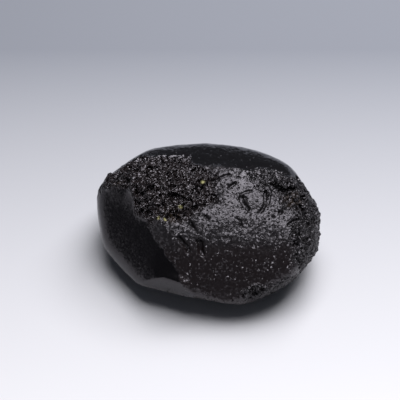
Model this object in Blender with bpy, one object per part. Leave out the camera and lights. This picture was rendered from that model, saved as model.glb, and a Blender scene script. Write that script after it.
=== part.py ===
"""Tektite: one lump of natural black glass, a flattened egg about 43 mm long, chipped, pitted and grooved.

A standalone Blender 4.5 script, in metres with +Z up. The origin is under the middle of the stone, on the
small flat that it rests on, and +X runs along its length. -Y is the side of the sloping front.
"""

import math

import bmesh
import bpy
import numpy as np
from mathutils import Vector, noise

MM = 0.001

# Driving dimensions
LENGTH = 43.7 * MM  # of the body before it is chipped
DEPTH = 35.0 * MM
HEIGHT = 23.1 * MM
GIRTH = 7.5 * MM  # height of the widest level
LOAF = 2.6  # 2 is an ellipsoid, and more is squarer
REST_CUT = 0.25 * MM  # what is worn off the belly, which leaves the flat that the stone rests on
GRID = 25  # cells along each edge of the cube that the body starts from

CENTRE = np.array((0.0, 0.0, GIRTH))

# Flat scars where flakes came off: azimuth and elevation they face in degrees, and in mm the distance from
# the centre and the rounding of the edge
FLATS = {
    "front slope": (281, 33, 13.6, 1.2),
    "shoulder": (287, 66, 12.2, 3.0),
    "top back": (97, 75, 13.8, 2.0),
    "smooth flank": (236, 32, 14.3, 0.8),
    "upper left": (150, 38, 19.2, 0.6),
    "left end": (195, -8, 20.2, 0.8),
    "lower left": (225, -28, 17.1, 0.4),
    "upright under the front": (262, 0, 16.0, 0.3),
    "lower right": (314, -27, 17.3, 1.0),
    "right foot": (338, -18, 19.9, 1.0),
    "right end": (35, 9, 20.2, 1.0),
    "back left": (113, 41, 17.3, 1.0),
    "back right": (65, 38, 19.2, 1.0),
}

ROUNDING_REACH = 6  # how far before its plane a scar's rounding starts, as a share of the rounding

# The scar under the front edge, in the same terms, cut after everything else
UNDERCUT = (266, -50, 11.5, 0.3)

# Layers that split off the surface past a plane, leaving a ledge along it: azimuth and elevation that the
# plane faces, distance from the centre, thickness and width of the ledge in mm
SPALLS = {
    "smooth flank": (237, 22, 13.3, 0.45, 0.8),
    "smooth back": (97, -10, 2.0, 0.25, 1.5),
}

# Broad swellings (+) and hollows (-): place on the surface, reach and height in mm
SWELLS = {
    "smooth hollow": ((1.0, -2.5, 18.7), 3.6, -0.9),
    "lip behind the hollow": ((3.1, 3.6, 19.9), 4.0, 0.4),
    "crust hollow": ((-5.2, -4.5, 18.6), 3.2, -0.7),
    "crust heap": ((-11.3, -4.1, 18.3), 5.0, 0.35),
    "crust edge": ((-16.2, -1.7, 17.2), 3.5, 0.3),
    "brown hollow": ((-3.9, -6.4, 17.6), 3.0, -0.5),
    "right shoulder dent": ((15.1, 3.3, 18.3), 4.0, -0.6),
    "rim knob": ((20.6, 2.2, 13.8), 3.5, 0.5),
    "rim notch": ((21.3, 0.8, 11.8), 2.4, -0.6),
    "lower rim notch": ((20.5, -5.3, 8.9), 2.6, -0.5),
    "upper rim notch": ((15.8, 7.8, 17.5), 2.4, -0.45),
    "front foot": ((13.1, -13.0, 7.3), 4.0, 0.2),
    "back dent": ((-6.0, 14.0, 9.0), 8.0, -0.9),
    "back bulge": ((8.0, 14.0, 8.0), 8.0, 0.5),
    "belly hollow": ((14.0, 5.0, 2.0), 5.0, -0.5),
}

# Rough ground: place and reach in mm of each patch, and how far its lumps go up and down
LUMPY = {
    "crust": ((-9.0, -3.5, 18.0), 12.0, 1.1),
    "right rim": ((20.0, -3.0, 12.5), 9.0, 0.8),
    "underside": ((0.0, 2.0, 0.0), 16.0, 0.2),
    "back": ((-2.0, 15.0, 12.0), 12.0, 0.3),
}
LUMP_SPACING = 2.4 * MM

# Grooves: the points that each runs through, its width and its depth, in mm
GROOVES = {
    "arc on the shoulder": (((6.5, -1.7, 18.7), (7.2, -3.1, 18.1), (8.3, -4.1, 17.6)), 0.8, 0.5),
    "branch of the arc": (((6.3, -1.6, 18.8), (8.3, -0.5, 18.9)), 0.7, 0.4),
    "channel": (((10.8, 0.4, 18.8), (11.0, -1.5, 18.2), (11.0, -2.9, 17.7), (10.5, -3.9, 17.3)), 0.9, 0.6),
    "dash behind the arc": (((4.0, -1.0, 19.2), (5.0, 0.3, 19.5)), 0.8, 0.45),
    "crescent at the hollow": (
        ((1.4, 0.1, 19.8), (2.8, 1.4, 20.1), (4.2, 2.0, 20.1), (5.2, 1.6, 19.8)),
        0.6,
        0.4,
    ),
    "gash": (((11.6, 2.0, 19.0), (12.7, 2.1, 18.6), (14.1, 1.8, 18.1), (15.8, 2.9, 17.7)), 1.4, 0.8),
    "left slot": (((-3.1, -11.0, 15.1), (-2.1, -11.6, 14.4), (-1.0, -12.5, 13.2)), 1.3, 0.9),
    "right slot": (((0.5, -10.6, 14.8), (1.0, -11.5, 13.9), (1.7, -12.3, 12.8)), 1.5, 1.0),
    "hook": (((6.5, -5.9, 16.9), (7.3, -6.4, 16.6), (7.7, -7.3, 16.0)), 0.6, 0.4),
    "dash in the hollow": (((0.9, -6.7, 17.3), (1.6, -7.4, 16.9)), 0.8, 0.45),
    "dash over the slots": (((-1.5, -8.4, 16.7), (-0.5, -9.4, 15.9)), 0.9, 0.5),
    "rim dash": (((15.8, -4.9, 16.1), (17.2, -3.3, 16.3)), 0.8, 0.5),
    "back groove": (((-2.2, 13.8, 16.0), (3.0, 14.9, 14.7), (7.4, 15.1, 13.5)), 1.2, 0.7),
}

END_TAPER = 0.7  # width of a groove's ends, as a share of its width

# Round pits: place on the surface, width and depth in mm
PITS = (
    ((14.0, -3.0, 17.2), 1.0, 0.5),
    ((12.9, -4.0, 16.9), 0.9, 0.45),
    ((15.3, -0.1, 17.6), 1.6, 0.6),
    ((17.7, -0.6, 16.6), 1.6, 0.7),
    ((17.5, 1.6, 17.0), 1.2, 0.6),
    ((20.0, -1.7, 14.8), 1.8, 0.8),
    ((17.7, -7.3, 14.1), 1.5, 0.6),
    ((19.7, -5.7, 13.9), 1.4, 0.6),
    ((11.8, -14.5, 7.1), 1.4, 0.5),
    ((15.8, 6.9, 16.8), 1.6, 0.7),
    ((-9.8, -4.2, 19.8), 1.6, 0.7),
    ((-5.5, -4.9, 18.6), 1.5, 0.6),
    ((-4.1, -6.6, 17.4), 1.4, 0.6),
    ((-14.0, -0.2, 20.0), 1.5, 0.6),
    ((-20.2, 8.1, 8.1), 2.0, 0.8),
    ((-10.3, 15.2, 8.1), 1.6, 0.7),
    ((14.5, 12.4, 9.1), 2.2, 0.9),
    ((10.2, -7.2, 0.5), 1.8, 0.7),
    ((-9.0, 5.0, 0.5), 2.2, 0.8),
)


def unit(v):
    return v / np.linalg.norm(v, axis=-1, keepdims=True)


def facing(azimuth, elevation):
    a, e = math.radians(azimuth), math.radians(elevation)
    return np.array((math.cos(e) * math.cos(a), math.cos(e) * math.sin(a), math.sin(e)))


def past_plane(points, azimuth, elevation, distance):
    return (points - CENTRE) @ facing(azimuth, elevation) - distance * MM


def near(points, place, reach):
    """1 at a place, falling smoothly to 0 at its reach."""
    closeness = np.clip(1 - np.linalg.norm(points - np.array(place) * MM, axis=1) / (reach * MM), 0, 1)
    return closeness**2 * (3 - 2 * closeness)


def raised(points, heights):
    return points + unit(points - CENTRE) * heights[:, None]


def loaf(directions):
    """The body before it is chipped: a squared ellipsoid, higher above its girth than below."""
    half_height = np.where(directions[:, 2] > 0, HEIGHT - GIRTH, GIRTH + REST_CUT)
    half = np.column_stack(
        [
            np.full(len(half_height), LENGTH / 2),
            np.full(len(half_height), DEPTH / 2),
            half_height,
        ]
    )
    size = (np.abs(directions / half) ** LOAF).sum(axis=1) ** (-1 / LOAF)
    return directions * size[:, None] + CENTRE


def flatten(points, azimuth, elevation, distance, rounding):
    """Presses what stands past a plane back onto it, with a rounded edge."""
    past = past_plane(points, azimuth, elevation, distance)
    pressed = (past + np.sqrt(past**2 + (rounding * MM) ** 2)) / 2
    pressed = np.where(past < -ROUNDING_REACH * rounding * MM, 0, pressed)
    return points - facing(azimuth, elevation) * pressed[:, None]


def spall(points, azimuth, elevation, distance, thickness, ledge):
    """Takes a layer of even thickness off the surface past a plane."""
    past = past_plane(points, azimuth, elevation, distance)
    taken = np.clip(past / (ledge * MM) + 0.5, 0, 1)
    return raised(points, -taken * thickness * MM)


def lumps(points):
    """How far the rough ground stands up or down at each point."""
    bumps = np.array([noise.noise(Vector(point) / LUMP_SPACING) for point in points])
    rough = np.zeros(len(points))
    for place, reach, height in LUMPY.values():
        rough = np.maximum(rough, np.minimum(2 * near(points, place, reach), 1) * height * MM)
    return bumps * rough


def shape_body(directions):
    points = loaf(directions)
    for flat in FLATS.values():
        points = flatten(points, *flat)
    for layer in SPALLS.values():
        points = spall(points, *layer)
    for place, reach, height in SWELLS.values():
        points = raised(points, near(points, place, reach) * height * MM)
    rough = lumps(points)
    on_smooth_flank = past_plane(points, *SPALLS["smooth flank"][:3]) > 0
    rough[on_smooth_flank] = 0
    points = raised(points, rough)
    points = flatten(points, *UNDERCUT)
    points[:, :2] -= (points.max(axis=0) + points.min(axis=0))[:2] / 2
    return points


def make_body(name):
    """A cube's faces divided evenly, blown up to a ball, shaped, and cut flat where it rests."""
    bpy.ops.mesh.primitive_cube_add(size=2)
    stone = bpy.context.object
    stone.name = stone.data.name = name
    bm = bmesh.new()
    bm.from_mesh(stone.data)
    bmesh.ops.subdivide_edges(bm, edges=bm.edges, cuts=GRID - 1, use_grid_fill=True)
    even = np.tan(np.array([vertex.co for vertex in bm.verts]) * math.pi / 4)
    points = shape_body(unit(unit(even) * (LENGTH, DEPTH, HEIGHT)))
    for vertex, point in zip(bm.verts, points):
        vertex.co = point
    everything = bm.verts[:] + bm.edges[:] + bm.faces[:]
    cut = bmesh.ops.bisect_plane(
        bm,
        geom=everything,
        plane_co=(0, 0, 0),
        plane_no=(0, 0, -1),
        clear_outer=True,
    )
    rim = [part for part in cut["geom_cut"] if isinstance(part, bmesh.types.BMEdge)]
    bmesh.ops.edgeloop_fill(bm, edges=rim)
    bmesh.ops.recalc_face_normals(bm, faces=bm.faces)
    bm.to_mesh(stone.data)
    bm.free()
    stone.data.shade_smooth()
    return stone


def sunk(stone, place, depth, radius):
    """The centre of a round cutter that goes to a depth under the surface nearest to a place."""
    _, surface, normal, _ = stone.closest_point_on_mesh(Vector(place) * MM)
    return surface + normal * (radius - depth) * MM


def groove_cutter(stone, name, route, width, depth):
    """A round bar along the route, thinner at its ends, as a closed mesh."""
    curve = bpy.data.curves.new(name, "CURVE")
    curve.dimensions = "3D"
    curve.bevel_depth = width / 2 * MM
    curve.bevel_resolution = 1
    curve.use_fill_caps = True
    line = curve.splines.new("POLY")
    line.points.add(len(route) - 1)
    for index, (point, place) in enumerate(zip(line.points, route)):
        point.co = (*sunk(stone, place, depth, width / 2), 1)
        point.radius = END_TAPER if index in (0, len(route) - 1) else 1.0
    guide = bpy.data.objects.new(name, curve)
    bpy.context.scene.collection.objects.link(guide)
    graph = bpy.context.evaluated_depsgraph_get()
    bar = bpy.data.objects.new(name, bpy.data.meshes.new_from_object(guide.evaluated_get(graph)))
    bar.matrix_world = guide.matrix_world
    bpy.data.objects.remove(guide)
    bm = bmesh.new()
    bm.from_mesh(bar.data)
    bmesh.ops.remove_doubles(bm, verts=bm.verts, dist=0.001 * MM)
    bmesh.ops.recalc_face_normals(bm, faces=bm.faces)
    bm.to_mesh(bar.data)
    bm.free()
    return bar


def pit_cutter(stone, name, place, width, depth):
    bm = bmesh.new()
    bmesh.ops.create_icosphere(bm, subdivisions=1, radius=width / 2 * MM)
    ball = bpy.data.objects.new(name, bpy.data.meshes.new(name))
    bm.to_mesh(ball.data)
    bm.free()
    ball.location = sunk(stone, place, depth, width / 2)
    return ball


def cut(stone, cutter, cutters):
    cutters.objects.link(cutter)
    cutter.hide_render = True
    cutter.display_type = "WIRE"
    boolean = stone.modifiers.new(cutter.name, "BOOLEAN")
    boolean.operation = "DIFFERENCE"
    boolean.object = cutter


def black_glass():
    material = bpy.data.materials.new("black glass")
    material.use_nodes = True
    shader = material.node_tree.nodes["Principled BSDF"]
    shader.inputs["Base Color"].default_value = (0.016, 0.013, 0.013, 1)
    shader.inputs["Roughness"].default_value = 0.42
    shader.inputs["Metallic"].default_value = 0
    return material


def new_collection(name):
    collection = bpy.data.collections.new(name)
    bpy.context.scene.collection.children.link(collection)
    return collection


def clear_scene():
    for old in list(bpy.data.objects):
        bpy.data.objects.remove(old)


clear_scene()
stone = make_body("tektite")
stone.users_collection[0].objects.unlink(stone)
new_collection("tektite").objects.link(stone)
stone.data.materials.append(black_glass())
cutters = new_collection("cutters")
bars = [groove_cutter(stone, name, *groove) for name, groove in GROOVES.items()]
balls = [pit_cutter(stone, f"pit {number}", *pit) for number, pit in enumerate(PITS, 1)]
for cutter in bars + balls:
    cut(stone, cutter, cutters)
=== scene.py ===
import math

import bpy
import numpy as np
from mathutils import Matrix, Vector, noise


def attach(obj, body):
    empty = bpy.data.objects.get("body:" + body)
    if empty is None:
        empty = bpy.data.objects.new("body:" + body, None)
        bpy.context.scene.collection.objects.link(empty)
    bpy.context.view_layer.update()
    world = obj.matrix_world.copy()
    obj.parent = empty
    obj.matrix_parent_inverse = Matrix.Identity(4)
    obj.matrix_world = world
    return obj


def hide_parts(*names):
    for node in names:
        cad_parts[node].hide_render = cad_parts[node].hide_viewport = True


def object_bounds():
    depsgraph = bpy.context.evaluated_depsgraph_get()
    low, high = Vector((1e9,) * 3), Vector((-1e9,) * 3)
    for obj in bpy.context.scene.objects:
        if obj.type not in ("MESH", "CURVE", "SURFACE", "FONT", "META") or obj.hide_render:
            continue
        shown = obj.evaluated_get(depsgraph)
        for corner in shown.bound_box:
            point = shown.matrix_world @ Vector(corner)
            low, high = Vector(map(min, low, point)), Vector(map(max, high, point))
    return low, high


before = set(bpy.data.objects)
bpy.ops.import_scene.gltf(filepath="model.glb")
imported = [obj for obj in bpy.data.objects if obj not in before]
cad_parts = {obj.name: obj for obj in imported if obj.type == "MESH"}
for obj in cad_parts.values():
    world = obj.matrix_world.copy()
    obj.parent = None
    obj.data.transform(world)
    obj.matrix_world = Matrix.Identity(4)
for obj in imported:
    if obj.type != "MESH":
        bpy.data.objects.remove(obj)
cad_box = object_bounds()

# ---------------------------------------------------------------- the viewpoint
# The stone is looked down on from in front, at half a right angle and a little to one side, from
# about two hand widths away through a long lens.

MM = 0.001
SIGHT_AZIMUTH = math.radians(12)
SIGHT_ELEVATION = math.radians(45)
LENS = 100
SENSOR = 36
NEAREST_SEEN = 0.01
VIEW_WIDTH = 74.7 * MM
STONE_MIDDLE = Vector((0.68, -2.26, 10.6)) * MM
VIEW_SHIFT = Vector((-1.59, 4.48)) * MM  # of the view's middle from the stone's, to the right and up

front = Vector((math.sin(SIGHT_AZIMUTH), -math.cos(SIGHT_AZIMUTH), 0))
right = Vector((math.cos(SIGHT_AZIMUTH), math.sin(SIGHT_AZIMUTH), 0))
toward_eye = front * math.cos(SIGHT_ELEVATION) + Vector((0, 0, math.sin(SIGHT_ELEVATION)))
up = toward_eye.cross(right)
looked_at = STONE_MIDDLE + right * VIEW_SHIFT.x + up * VIEW_SHIFT.y

bpy.ops.object.camera_add(location=looked_at + toward_eye * VIEW_WIDTH * LENS / SENSOR)
camera = bpy.context.object
camera.rotation_euler = (-toward_eye).to_track_quat("-Z", "Y").to_euler()
camera.data.lens = LENS
camera.data.sensor_width = SENSOR
camera.data.clip_start = NEAREST_SEEN
bpy.context.scene.camera = camera

# ---------------------------------------------------------------- the table and the light
# A smooth sheet of pale grey paper under one soft lamp overhead, a little behind the stone and to
# the right. Its colour is painted brighter towards the viewer and darker behind, as painted light and
# shade for the lamp's falloff. The room around it is dim.

PAPER_SIZE = 1.2
LAMP_SIZE = (0.24, 0.42)  # across and from front to back
LAMP_POWER = 2.42
LAMP_AWAY = (0.075, -0.09, 0.34)  # from the stone: to the right, to the front and up
LAMP_COLOUR = (0.96, 0.96, 1.0)
# The paper's colour near the viewer and far behind the stone: the darkening between them is painted shade
PAPER_NEAR = (0.785, 0.775, 0.785, 1)
PAPER_FAR_SHADED = (0.25, 0.26, 0.291, 1)
PAPER_PAINTED_SHADE_FADES = (65 * MM, -40 * MM)  # how far behind the stone it is darkest, and where it is palest
PAPER_ROUGHNESS = 0.8
PAPER_SHEEN = 0.2
ROOM_COLOUR = (0.5, 0.55, 0.65, 1)
ROOM_LIGHT = 0.11

bpy.ops.mesh.primitive_plane_add(size=PAPER_SIZE)
paper = bpy.context.object
paper.name = "paper"

paper_finish = bpy.data.materials.new("pale paper")
paper_finish.use_nodes = True
nodes = paper_finish.node_tree.nodes
links = paper_finish.node_tree.links
shader = nodes["Principled BSDF"]
shader.inputs["Roughness"].default_value = PAPER_ROUGHNESS
shader.inputs["Specular IOR Level"].default_value = PAPER_SHEEN
place = nodes.new("ShaderNodeTexCoord")
turned = nodes.new("ShaderNodeMapping")
turned.inputs["Rotation"].default_value = (0, 0, -SIGHT_AZIMUTH)
apart = nodes.new("ShaderNodeSeparateXYZ")
# Painted shade: the paper's colour fades from pale near the viewer to dark behind the stone
painted_falloff = nodes.new("ShaderNodeMapRange")
painted_falloff.inputs["From Min"].default_value, painted_falloff.inputs["From Max"].default_value = PAPER_PAINTED_SHADE_FADES
paper_with_painted_falloff = nodes.new("ShaderNodeMix")
paper_with_painted_falloff.data_type = "RGBA"
paper_with_painted_falloff.inputs["A"].default_value = PAPER_FAR_SHADED
paper_with_painted_falloff.inputs["B"].default_value = PAPER_NEAR
links.new(place.outputs["Object"], turned.inputs["Vector"])
links.new(turned.outputs["Vector"], apart.inputs["Vector"])
links.new(apart.outputs["Y"], painted_falloff.inputs["Value"])
links.new(painted_falloff.outputs["Result"], paper_with_painted_falloff.inputs["Factor"])
links.new(paper_with_painted_falloff.outputs["Result"], shader.inputs["Base Color"])
paper.data.materials.append(paper_finish)

away_right, away_front, away_up = LAMP_AWAY
lamp_place = STONE_MIDDLE + right * away_right + front * away_front + Vector((0, 0, away_up))
bpy.ops.object.light_add(type="AREA", location=lamp_place)
lamp = bpy.context.object
lamp.rotation_euler = (STONE_MIDDLE - lamp_place).to_track_quat("-Z", "Y").to_euler()
lamp.data.shape = "RECTANGLE"
lamp.data.size, lamp.data.size_y = LAMP_SIZE
lamp.data.color = LAMP_COLOUR
lamp.data.energy = LAMP_POWER

room = bpy.data.worlds.new("dim room")
bpy.context.scene.world = room
room.use_nodes = True
room_air = room.node_tree.nodes["Background"]
room_air.inputs["Color"].default_value = ROOM_COLOUR
room_air.inputs["Strength"].default_value = ROOM_LIGHT
bpy.context.scene.view_settings.view_transform = "Standard"

# ---------------------------------------------------------------- the stone
# One lump of natural black glass, melted and chilled in flight, then split, etched and worn in the
# ground. Acids cut its grooves and pits, and left a crumbly crust where the first skin is kept.

SAME_PLACE = 0.01 * MM
FORM_VOXEL = 0.9 * MM
FORM_WEAR = 3  # passes of smoothing
TURN_WEAR = 10

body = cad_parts["tektite"]
stone = bpy.data.objects.new("glass_stone", body.data.copy())
bpy.context.scene.collection.objects.link(stone)


def only(*chosen):
    """Selects these pieces and nothing else, the first one as the active piece."""
    bpy.ops.object.select_all(action="DESELECT")
    for one in chosen:
        one.select_set(True)
    bpy.context.view_layer.objects.active = chosen[0]


def finish(piece, kind, **settings):
    """Adds a modifier, sets it and applies it."""
    only(piece)
    modifier = piece.modifiers.new(kind.lower(), kind)
    for name, value in settings.items():
        setattr(modifier, name, value)
    bpy.ops.object.modifier_apply(modifier=modifier.name)


only(stone)
bpy.ops.object.mode_set(mode="EDIT")
bpy.ops.mesh.select_all(action="SELECT")
bpy.ops.mesh.remove_doubles(threshold=SAME_PLACE)
bpy.ops.object.mode_set(mode="OBJECT")


def skin_points(what="co"):
    """Each point's place in metres, or its normal."""
    values = np.empty(len(stone.data.vertices) * 3, np.float32)
    stone.data.vertices.foreach_get(what, values)
    return values.reshape(-1, 3)


def move_skin(places):
    """Puts each point at a new place in metres."""
    stone.data.vertices.foreach_set("co", np.ascontiguousarray(places, np.float32).ravel())


def wear(passes, **where):
    """Smooths the stone, all over or in one group of its points."""
    finish(stone, "SMOOTH", factor=0.5, iterations=passes, **where)


# The broad form is worn smooth before anything small is cut, most at the turn above the front slope
finish(stone, "REMESH", mode="VOXEL", voxel_size=FORM_VOXEL)
wear(FORM_WEAR)
x, y, z = (skin_points() / MM).T
turn = stone.vertex_groups.new(name="turn")
turn.add(np.nonzero((x > -3) & (y < -5) & (z > 11.5) & (z < 17.5))[0].tolist(), 1, "REPLACE")
wear(TURN_WEAR, vertex_group="turn")
finish(stone, "SUBSURF", levels=2, render_levels=2)

# Etched grooves: the points that each runs through, its width and its depth, in mm
GROOVES = (
    (((6.5, -1.5, 18.7), (6.9, -2.6, 18.3), (7.6, -3.3, 17.9), (8.5, -3.9, 17.6)), 0.95, 0.7),
    (((6.3, -1.4, 18.8), (7.3, -0.7, 18.9), (8.5, -0.0, 18.9)), 0.5, 0.4),
    (((6.9, -1.6, 18.6), (8.1, -2.1, 18.3)), 0.45, 0.35),
    (
        ((10.7, 0.8, 18.9), (10.8, -0.6, 18.4), (11.1, -1.9, 18.0), (10.9, -2.9, 17.6), (10.3, -3.9, 17.3)),
        0.6,
        0.6,
    ),
    (((11.5, 0.8, 18.7), (11.6, -0.8, 18.2), (11.7, -2.3, 17.7)), 0.45, 0.5),
    (((3.9, -1.0, 19.2), (4.4, -0.2, 19.3), (5.2, 0.8, 19.5)), 0.6, 0.55),
    (((1.2, -0.0, 19.7), (2.0, 0.8, 19.9), (3.0, 1.6, 20.1), (4.2, 2.2, 20.1)), 0.5, 0.45),
    (((4.6, 1.7, 19.9), (5.9, 1.9, 19.7)), 0.5, 0.4),
    (
        ((11.4, 2.3, 19.1), (12.3, 2.3, 18.8), (13.3, 2.1, 18.4), (14.3, 2.1, 18.0), (15.1, 2.8, 17.9)),
        1.3,
        1.0,
    ),
    (((14.3, 2.4, 18.1), (15.1, 2.8, 17.9), (16.0, 3.2, 17.7)), 0.9, 0.8),
    (((13.4, 3.8, 18.6), (14.4, 3.6, 18.2)), 0.5, 0.4),
    (
        (
            (-3.3, -10.6, 15.2),
            (-2.6, -11.0, 14.7),
            (-1.8, -11.6, 14.3),
            (-1.3, -11.8, 13.8),
            (-0.8, -12.5, 13.1),
        ),
        0.9,
        0.75,
    ),
    (((0.2, -10.4, 14.9), (1.0, -10.8, 14.4), (1.1, -11.6, 13.6), (1.9, -12.2, 12.7)), 1.1, 0.8),
    (((6.3, -5.6, 17.0), (7.3, -6.0, 16.7), (7.7, -7.2, 15.9)), 0.5, 0.45),
    (((8.0, -6.0, 16.6), (8.6, -6.5, 16.2)), 0.4, 0.35),
    (((0.7, -6.4, 17.4), (1.2, -6.8, 17.1), (1.8, -7.3, 16.8)), 0.55, 0.5),
    (((-1.7, -8.1, 16.8), (-1.0, -8.7, 16.3), (-0.3, -9.3, 15.8)), 0.6, 0.5),
    (((15.7, -4.9, 16.1), (16.4, -4.0, 16.3), (17.3, -2.9, 16.4)), 0.7, 0.6),
    (((11.1, -5.1, 16.6), (11.8, -5.8, 16.1)), 0.4, 0.35),
    (((3.6, -4.1, 18.1), (4.2, -4.7, 17.8)), 0.4, 0.35),
    (((1.8, -8.1, 16.3), (2.3, -8.8, 15.8)), 0.4, 0.35),
    (((9.0, -1.7, 18.3), (9.6, -2.3, 18.0)), 0.45, 0.4),
    (((12.8, -0.6, 18.1), (13.7, -1.1, 17.8)), 0.5, 0.45),
    (((-2.2, 14.0, 16.0), (3.0, 15.1, 14.7), (7.4, 15.3, 13.5)), 1.2, 0.7),
)

# Round pits: place on the surface, width and depth in mm
PITS = (
    ((14.0, -2.8, 17.1), 0.9, 0.55),
    ((12.9, -4.0, 16.8), 0.7, 0.45),
    ((15.5, 0.2, 17.6), 1.5, 0.65),
    ((17.7, -0.4, 16.6), 1.5, 0.7),
    ((17.5, 2.0, 17.0), 1.2, 0.6),
    ((20.0, -1.5, 14.8), 1.6, 0.7),
    ((17.7, -7.1, 14.1), 1.3, 0.6),
    ((19.7, -5.5, 13.9), 1.4, 0.6),
    ((19.9, -8.5, 9.8), 2.4, 0.9),
    ((20.9, -4.0, 11.5), 1.8, 0.7),
    ((11.8, -14.3, 7.1), 1.2, 0.5),
    ((15.8, 7.1, 16.8), 1.5, 0.6),
    ((-9.8, -4.0, 19.8), 1.4, 0.7),
    ((-5.5, -4.7, 18.6), 2.2, 0.9),
    ((-3.9, -6.3, 17.4), 1.8, 0.8),
    ((-14.0, -0.0, 20.0), 1.3, 0.6),
    ((-2.3, -4.5, 18.3), 1.0, 0.5),
    ((-6.8, -6.5, 17.7), 1.3, 0.6),
    ((-10.1, -6.7, 18.5), 1.2, 0.6),
    ((-20.2, 8.3, 8.1), 2.0, 0.8),
    ((-10.3, 15.4, 8.1), 1.6, 0.7),
    ((14.5, 12.6, 9.1), 2.2, 0.9),
    ((10.2, -7.0, 0.5), 1.8, 0.7),
    ((-9.0, 5.2, 0.5), 2.2, 0.8),
)
END_WIDTH = 0.45  # of a groove's full width
END_LENGTH = 0.4  # of the stretch between two points
STEPS = 5  # along each stretch
CUT_VOXEL = 0.1 * MM
RAGGED_SPACING = 0.6 * MM
RAGGED_DEPTH = 0.25 * MM
SKIN_VOXEL = 0.19 * MM
SKIN_WEAR = 2


def sunk(place, depth, radius):
    """The centre of a round cutter that goes to a depth under the surface nearest to a place."""
    _, surface, normal, _ = stone.closest_point_on_mesh(Vector(place) * MM)
    return surface + normal * (radius - depth) * MM


def groove_bar(route, width, depth):
    """A round bar along the route, at a depth under the surface, with narrow ends."""
    bpy.ops.curve.primitive_nurbs_path_add()
    bar = bpy.context.object
    bar.data.splines.clear()
    bar.data.bevel_depth = width / 2 * MM
    bar.data.bevel_resolution = 2
    bar.data.use_fill_caps = True
    stretches = len(route) - 1
    stops = np.linspace(0, stretches, stretches * STEPS + 1)
    places = np.column_stack([np.interp(stops, range(len(route)), axis) for axis in zip(*route)])
    line = bar.data.splines.new("POLY")
    line.points.add(len(places) - 1)
    for point, stop, place in zip(line.points, stops, places):
        point.co = (*sunk(place, depth, width / 2), 1)
        from_end = min(min(stop, stretches - stop) / END_LENGTH, 1)
        point.radius = END_WIDTH + (1 - END_WIDTH) * from_end**0.5
    bpy.ops.object.convert(target="MESH")
    return bpy.context.object


def pit_ball(place, width, depth):
    """A ball that is sunk to a depth under the surface."""
    bpy.ops.mesh.primitive_ico_sphere_add(
        subdivisions=3, radius=width / 2 * MM, location=sunk(place, depth, width / 2)
    )
    return bpy.context.object


# A deep groove is cut by several bars, one above the other
cutters = [pit_ball(*pit) for pit in PITS]
for route, width, depth in GROOVES:
    for height in np.arange(0, depth, width / 3):
        cutters.append(groove_bar(route, width, depth - height))
only(*cutters)
bpy.ops.object.join()
cutter = bpy.context.object
bpy.ops.object.transform_apply(location=True, rotation=True, scale=True)
finish(cutter, "REMESH", mode="VOXEL", voxel_size=CUT_VOXEL)
ragged = bpy.data.textures.new("ragged walls", "CLOUDS")
ragged.noise_scale = RAGGED_SPACING
finish(cutter, "DISPLACE", texture=ragged, texture_coords="LOCAL", strength=RAGGED_DEPTH, mid_level=0.45)
finish(cutter, "REMESH", mode="VOXEL", voxel_size=CUT_VOXEL)

finish(stone, "BOOLEAN", operation="DIFFERENCE", object=cutter, solver="EXACT")
bpy.data.objects.remove(cutter)

finish(stone, "REMESH", mode="VOXEL", voxel_size=SKIN_VOXEL)
wear(SKIN_WEAR)

# The skin is told apart into grounds, each with a share from 0 to 1 at every point
points = skin_points() / MM


def step(low, high, value):
    """An even turn from 0 at the low value to 1 at the high one."""
    share = np.clip((value - low) / (high - low), 0, 1)
    return share * share * (3 - 2 * share)


def within(centre, size):
    """Distance from a centre, 1 on the ellipsoid of a size."""
    return np.linalg.norm((points - np.array(centre)) / np.array(size), axis=1)


def wander(spacing):
    """Smooth random values about 0, which make an edge ragged."""
    return np.array([noise.noise(Vector(point) / spacing) for point in points])


# The ridge that the smooth flank ends at, seen from above, in mm
RIDGE = (
    (-22.0, -1.0),
    (-16.4, -2.6),
    (-14.3, -3.4),
    (-12.9, -5.1),
    (-12.5, -6.3),
    (-11.8, -7.2),
    (-9.6, -8.3),
    (-7.2, -10.8),
    (-4.6, -13.1),
    (-2.4, -14.6),
    (2.0, -18.0),
)
# The flats that meet in sharp edges under the smooth flank: the azimuth and the elevation that each
# faces in degrees, and its distance in mm from a point that is GIRTH above the table
FLANK = (236, 32, 14.4)
UPRIGHT = (262, 0, 16.3)
UNDERCUT = (266, -50, 11.9)
GIRTH = 7.5
EDGE_DRAWN_TO = 250  # the azimuth that the worn edges are drawn out to
# The top of the upright strip under the flank: places along X, and the height at each
STRIP_TOP = ((-13.1, -7.5, -3.2, 2.3), (6.6, 5.5, 7.2, 6.8))

# The patches of broken ground: the middle and half size in mm, the distances where a patch starts and
# is full, its share, and how finely its edge is frayed
CRUST = ((-9.5, -1.8, 18), (11, 7.5, 8), 1.12, 0.9, 1.0, 0.1)
ROUGH_END = (
    ((20.5, -2.8, 12), (5.5, 7.5, 7), 1.1, 0.8, 1.0, 0.1),
    ((16, 2.2, 17.5), (4.5, 4.5, 3), 1.1, 0.7, 1.0, 0.1),
    ((12.0, -14.3, 7.0), (3.0, 2.0, 2.0), 1.1, 0.7, 1.0, 0),
    ((16.0, -9.5, 5.2), (6.5, 5.0, 4.6), 1.1, 0.7, 1.0, 0),
    ((11.5, 3.0, 18.5), (6.5, 3.0, 3.0), 1.2, 0.6, 0.7, 0.1),
)
WIDE_FRAY = 2.5  # mm between the bends of a ragged edge
FINE_FRAY = 0.9
BAND_EDGE = 3.8  # mm behind the stone's middle, over which it slants back to the right
BAND_SLANT = 0.05
SLOPE_TOP = (15.4, 12.6)  # mm above the table, where the front slope's ground starts and is full
GRADES = 20  # the steps that a ground's shares are rounded to
FLANK_WEAR = 200


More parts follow.
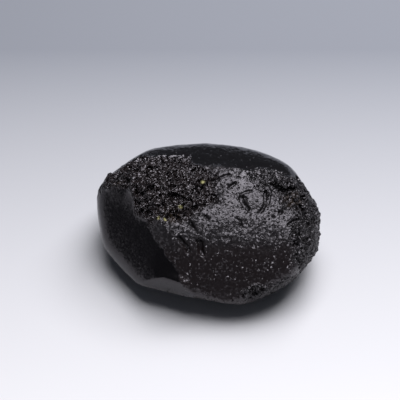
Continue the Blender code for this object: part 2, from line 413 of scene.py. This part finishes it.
def facing(azimuth, elevation):
    """The direction of an azimuth and an elevation in degrees."""
    a, e = math.radians(azimuth), math.radians(elevation)
    return np.array((math.cos(e) * math.cos(a), math.cos(e) * math.sin(a), math.sin(e)))


def past_flat(azimuth, elevation, distance):
    """How far each point lies outside a flat, in mm."""
    return (points - (0, 0, GIRTH)) @ facing(azimuth, elevation) - distance


def patch(middle, size, start, full, share, frayed):
    return share * step(start, full, within(middle, size) + 0.2 * wide + frayed * fine)


x, y, z = points.T
past_ridge = np.interp(x, *zip(*RIDGE)) - y
wide = wander(WIDE_FRAY)
fine = wander(FINE_FRAY)
flank = step(-0.2, 0.3, past_ridge + 0.4 * fine)
crust = patch(*CRUST) * step(0.2, -0.8, past_ridge + 0.4 * fine)
rough_end = np.max([patch(*place) for place in ROUGH_END], axis=0)
# A smooth dark band runs along the top and the back, and thins out over the right of the shoulder
behind = y - BAND_EDGE - BAND_SLANT * x + 0.6 * wide
band = np.maximum(step(-0.6, 0.6, behind), 0.85 * step(-5.0, -0.5, behind) * step(3, 7, x))
band *= (1 - crust) * (1 - rough_end)
slope = step(*SLOPE_TOP, z + 0.5 * wide) * step(0, -3, y) * (1 - flank) * (1 - rough_end)
# The upright strip under the flank, whose colour is a painted reflection of the lit paper
strip = step(-0.3, -0.1, past_flat(*UPRIGHT) + 0.1 * wide)
strip *= step(0.4, -0.2, z - np.interp(x, *STRIP_TOP) + 0.3 * fine)
shoulder = (1 - crust) * (1 - rough_end) * (1 - band) * (1 - slope) * (1 - flank)
grounds = {"crust": crust, "rough_end": rough_end, "band": band, "slope": slope, "flank": flank}

for name, shares in {**grounds, "shoulder": shoulder}.items():
    group = stone.vertex_groups.new(name=name)
    grades = np.round(shares * GRADES).astype(int)
    for grade in range(1, GRADES + 1):
        members = np.nonzero(grades == grade)[0].tolist()
        if members:
            group.add(members, grade / GRADES, "REPLACE")


def raise_ground(where, kind, spacing, height, mid_level, **settings):
    """Lifts and sinks one ground by a pattern, whose spacing and height are in mm."""
    relief = bpy.data.textures.new(where, kind)
    relief.noise_scale = spacing * MM
    for name, value in settings.items():
        setattr(relief, name, value)
    finish(
        stone,
        "DISPLACE",
        texture=relief,
        texture_coords="LOCAL",
        strength=height * MM,
        mid_level=mid_level,
        vertex_group=where,
    )


# The flank is worn even, and the edges low on it are drawn out to where their flats meet
wear(FLANK_WEAR, vertex_group="flank")
points = skin_points() / MM
x, y, z = points.T
outward = facing(EDGE_DRAWN_TO, 0)
short = np.min(
    [-past_flat(*flat) / (facing(*flat[:2]) @ outward) for flat in (FLANK, UPRIGHT, UNDERCUT)], axis=0
)
short = np.maximum(short, 0) * step(1.5, 0.8, short) * step(-1.5, 0, past_ridge)
short *= step(2.5, 3.5, z) * step(11, 8.5, z) * step(-12, -8, x)
points += short[:, None] * outward
move_skin(points * MM)

raise_ground("crust", "CLOUDS", 2.2, 2.0, 0.66, noise_depth=1)
raise_ground("crust", "VORONOI", 1.0, 0.8, 0.55, noise_intensity=1.0)
raise_ground("crust", "CLOUDS", 0.6, 0.6, 0.5, noise_depth=2)
raise_ground("rough_end", "CLOUDS", 1.4, 0.7, 0.55, noise_depth=1)
raise_ground("rough_end", "VORONOI", 0.8, 0.55, 0.45, noise_intensity=1.0)
raise_ground("rough_end", "CLOUDS", 0.45, 0.35, 0.5, noise_depth=2)
raise_ground("shoulder", "CLOUDS", 1.8, 0.35, 0.5, noise_depth=2)
raise_ground("slope", "VORONOI", 0.9, 0.08, 0.6)
raise_ground("band", "CLOUDS", 1.5, 0.12, 0.5)

# How far each point was sunk in that, in mm
deep = -((skin_points() / MM - points) * skin_points("normal")).sum(axis=1)

# Soil left in the hollows: pale grains, and brown stain
GRAINS = ((-0.8, -0.7, 19.7), (-3.9, -5.7, 17.5), (-7.4, -8.6, 16.9), (-6.0, -8.6, 17.0))
STAINS = (((-5.0, -7.4, 17.2), 2.6), ((-17.0, -2.1, 17.5), 1.8), ((15.8, 0.6, 17.6), 3.0))
grains = np.max([step(0.45, 0.2, within(place, 1)) for place in GRAINS], axis=0)
stain = np.max([step(1, 0, within(place, radius)) for place, radius in STAINS], axis=0)

# Each ground is written on the skin for the material to read. Then the skin is thinned where it is
# even, and kept within the solid's own bounds
KEPT_SHARE = 0.7
stone.vertex_groups.clear()
for name, shares in {**grounds, "strip": strip, "deep": deep, "grains": grains, "stain": stain}.items():
    attribute = stone.data.attributes.new(name, "FLOAT", "POINT")
    attribute.data.foreach_set("value", np.ascontiguousarray(shares, np.float32))
finish(stone, "DECIMATE", ratio=KEPT_SHARE)
move_skin(np.clip(skin_points(), *cad_box))

# Black glass, faintly brown where it is rough, with fine etching all over, soil in its hollows and painted
# shade deep in them.
# The values of one ground cover those of the grounds before it. Spacings are in mm
COLOUR = (0.0085, 0.0075, 0.0078, 1)
GROUND_COLOURS = (
    ("flank", (0.0025, 0.002, 0.0022, 1)),
    ("slope", (0.0095, 0.0065, 0.0065, 1)),
    ("crust", (0.016, 0.0125, 0.0125, 1)),
    ("band", (0.004, 0.0036, 0.0038, 1)),
    # Painted reflection: the upright strip is paler and bluish, for the lit paper that it mirrors
    ("strip", (0.012, 0.013, 0.016, 1)),
)
HOLLOW_PAINTED_SHADE = (0.004, 0.0032, 0.0028, 1)
STAIN_COLOUR = (0.03, 0.02, 0.012, 1)
GRAIN_COLOUR = (0.36, 0.34, 0.14, 1)
ROUGHNESS = 0.36
GROUND_ROUGHNESS = (
    ("flank", 0.2),
    ("strip", 0.5),
    ("slope", 0.32),
    ("crust", 0.06),
    ("rough_end", 0.3),
    ("band", 0.15),
)
HOLLOW_ROUGHNESS = 0.6
SPECK_ROUGHNESS = 0.15
GRAIN_ROUGHNESS = 0.8
GROUND_ETCHING = (("flank", 0.12), ("slope", 0.5), ("band", 0.2))
ETCH_SPACING = 0.42
CRUMB_SPACING = 0.42
CRUMB_HEIGHT = 3.0  # in heights of the etching
SPECK_SPACING = 0.9
SPECK_HEIGHT = 1.5
ETCH_HEIGHT = 0.15 * MM
CELL_SPACING = 0.34
CELL_TILT = 0.3
SLOPE_TILT = 0.15
GLINT_SPACING = 0.28
GLINT_TILT = 1.2
BROKEN_TILT = 1.7
BAND_TILT = 0.1
FLANK_TILT = 0.06

glass = bpy.data.materials.new("black glass")
glass.use_nodes = True
nodes = glass.node_tree.nodes
links = glass.node_tree.links
shader = nodes["Principled BSDF"]
shader.inputs["Specular IOR Level"].default_value = 0.55
shader.inputs["Specular Tint"].default_value = (0.98, 0.93, 1, 1)
place = nodes.new("ShaderNodeTexCoord")


def joined(node, socket, value):
    """Sets a socket to a number or a colour, or links it to another node's result."""
    if isinstance(value, (int, float, tuple)):
        node.inputs[socket].default_value = value
    else:
        links.new(value, node.inputs[socket])


def ground(name):
    """The share of one ground, as written on the skin."""
    node = nodes.new("ShaderNodeAttribute")
    node.attribute_name = name
    return node.outputs["Fac"]


def maths(operation, first, second):
    node = nodes.new("ShaderNodeMath")
    node.operation = operation
    joined(node, 0, first)
    joined(node, 1, second)
    return node.outputs["Value"]


def mixed(share, first, second):
    """Numbers or colours, from the first to the second by a share."""
    node = nodes.new("ShaderNodeMix")
    colour = isinstance(second, tuple)
    node.data_type = "RGBA" if colour else "FLOAT"
    sockets = ("Factor_Float", "A_Color", "B_Color") if colour else ("Factor_Float", "A_Float", "B_Float")
    found = {socket.identifier: number for number, socket in enumerate(node.inputs)}
    for identifier, value in zip(sockets, (share, first, second)):
        joined(node, found[identifier], value)
    return node.outputs[2 if colour else 0]


def between(value, low, high):
    """An even turn from 0 at the low value to 1 at the high one."""
    node = nodes.new("ShaderNodeMapRange")
    node.interpolation_type = "SMOOTHSTEP"
    joined(node, "Value", value)
    node.inputs["From Min"].default_value = low
    node.inputs["From Max"].default_value = high
    return node.outputs["Result"]


def grain(spacing):
    node = nodes.new("ShaderNodeTexNoise")
    node.inputs["Scale"].default_value = 1 / (spacing * MM)
    node.inputs["Detail"].default_value = 2.0
    node.inputs["Roughness"].default_value = 0.5
    links.new(place.outputs["Object"], node.inputs["Vector"])
    return node.outputs["Fac"]


def cells(spacing):
    node = nodes.new("ShaderNodeTexVoronoi")
    node.inputs["Scale"].default_value = 1 / (spacing * MM)
    links.new(place.outputs["Object"], node.inputs["Vector"])
    return node


def vectors(operation, *values):
    """Joins each value to the node's socket of that number or name."""
    node = nodes.new("ShaderNodeVectorMath")
    node.operation = operation
    for socket, value in values:
        joined(node, socket, value)
    return node.outputs["Vector"]


broken = maths("MAXIMUM", ground("crust"), ground("rough_end"))

tint = COLOUR
for where, colour in GROUND_COLOURS:
    tint = mixed(ground(where), tint, colour)
# Painted shade: the deepest hollows are darkened
tint = mixed(between(ground("deep"), 0.5, 1.0), tint, HOLLOW_PAINTED_SHADE)
tint = mixed(maths("MULTIPLY", ground("stain"), between(grain(0.8), 0.45, 0.6)), tint, STAIN_COLOUR)
tint = mixed(ground("grains"), tint, GRAIN_COLOUR)
links.new(tint, shader.inputs["Base Color"])

# Small bright specks lie here and there, everywhere but on the smooth flank
speck_cells = cells(SPECK_SPACING)
chosen = between(speck_cells.outputs["Color"], 0.6, 0.62)
speck = maths("MULTIPLY", between(speck_cells.outputs["Distance"], 0.22, 0.0), chosen)
speck = maths("MULTIPLY", speck, maths("SUBTRACT", 1.0, ground("flank")))

gloss = ROUGHNESS
for where, roughness in GROUND_ROUGHNESS:
    gloss = mixed(ground(where), gloss, roughness)
gloss = mixed(between(ground("deep"), 0.5, 1.1), gloss, HOLLOW_ROUGHNESS)
gloss = mixed(speck, gloss, SPECK_ROUGHNESS)
gloss = mixed(ground("grains"), gloss, GRAIN_ROUGHNESS)
links.new(gloss, shader.inputs["Roughness"])

# The etching, finer than the skin: fine grain, crumbs on broken ground, and the specks
etch_share = 1.0
for where, share in GROUND_ETCHING:
    etch_share = mixed(ground(where), etch_share, share)
etched = maths("MULTIPLY", grain(ETCH_SPACING), etch_share)
crumb = maths("SUBTRACT", 1.0, cells(CRUMB_SPACING).outputs["Distance"])
crumb = maths("MULTIPLY", crumb, between(grain(0.9), 0.35, 0.65))
relief = maths("ADD", etched, maths("MULTIPLY", maths("MULTIPLY", crumb, broken), CRUMB_HEIGHT))
relief = maths("ADD", relief, maths("MULTIPLY", speck, SPECK_HEIGHT))
bump = nodes.new("ShaderNodeBump")
bump.inputs["Strength"].default_value = 1.0
bump.inputs["Distance"].default_value = ETCH_HEIGHT
links.new(relief, bump.inputs["Height"])

# Each tiny cell of the glass is tilted its own way, most on broken ground, so that a few glint
glint = between(cells(GLINT_SPACING).outputs["Color"], 0.68, 0.7)
tilt = mixed(glint, mixed(ground("slope"), CELL_TILT, SLOPE_TILT), GLINT_TILT)
tilt = mixed(broken, tilt, BROKEN_TILT)
tilt = mixed(ground("band"), tilt, BAND_TILT)
tilt = mixed(ground("flank"), tilt, FLANK_TILT)
each_way = vectors("SUBTRACT", (0, cells(CELL_SPACING).outputs["Color"]), (1, (0.5, 0.5, 0.5)))
tilted = vectors("SCALE", (0, each_way), ("Scale", tilt))
faceted = vectors("ADD", (0, bump.outputs["Normal"]), (1, tilted))
links.new(vectors("NORMALIZE", (0, faceted)), shader.inputs["Normal"])
stone.data.materials.clear()
stone.data.materials.append(glass)

only(stone)
bpy.ops.object.shade_smooth()
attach(stone, "root")
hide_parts("tektite")
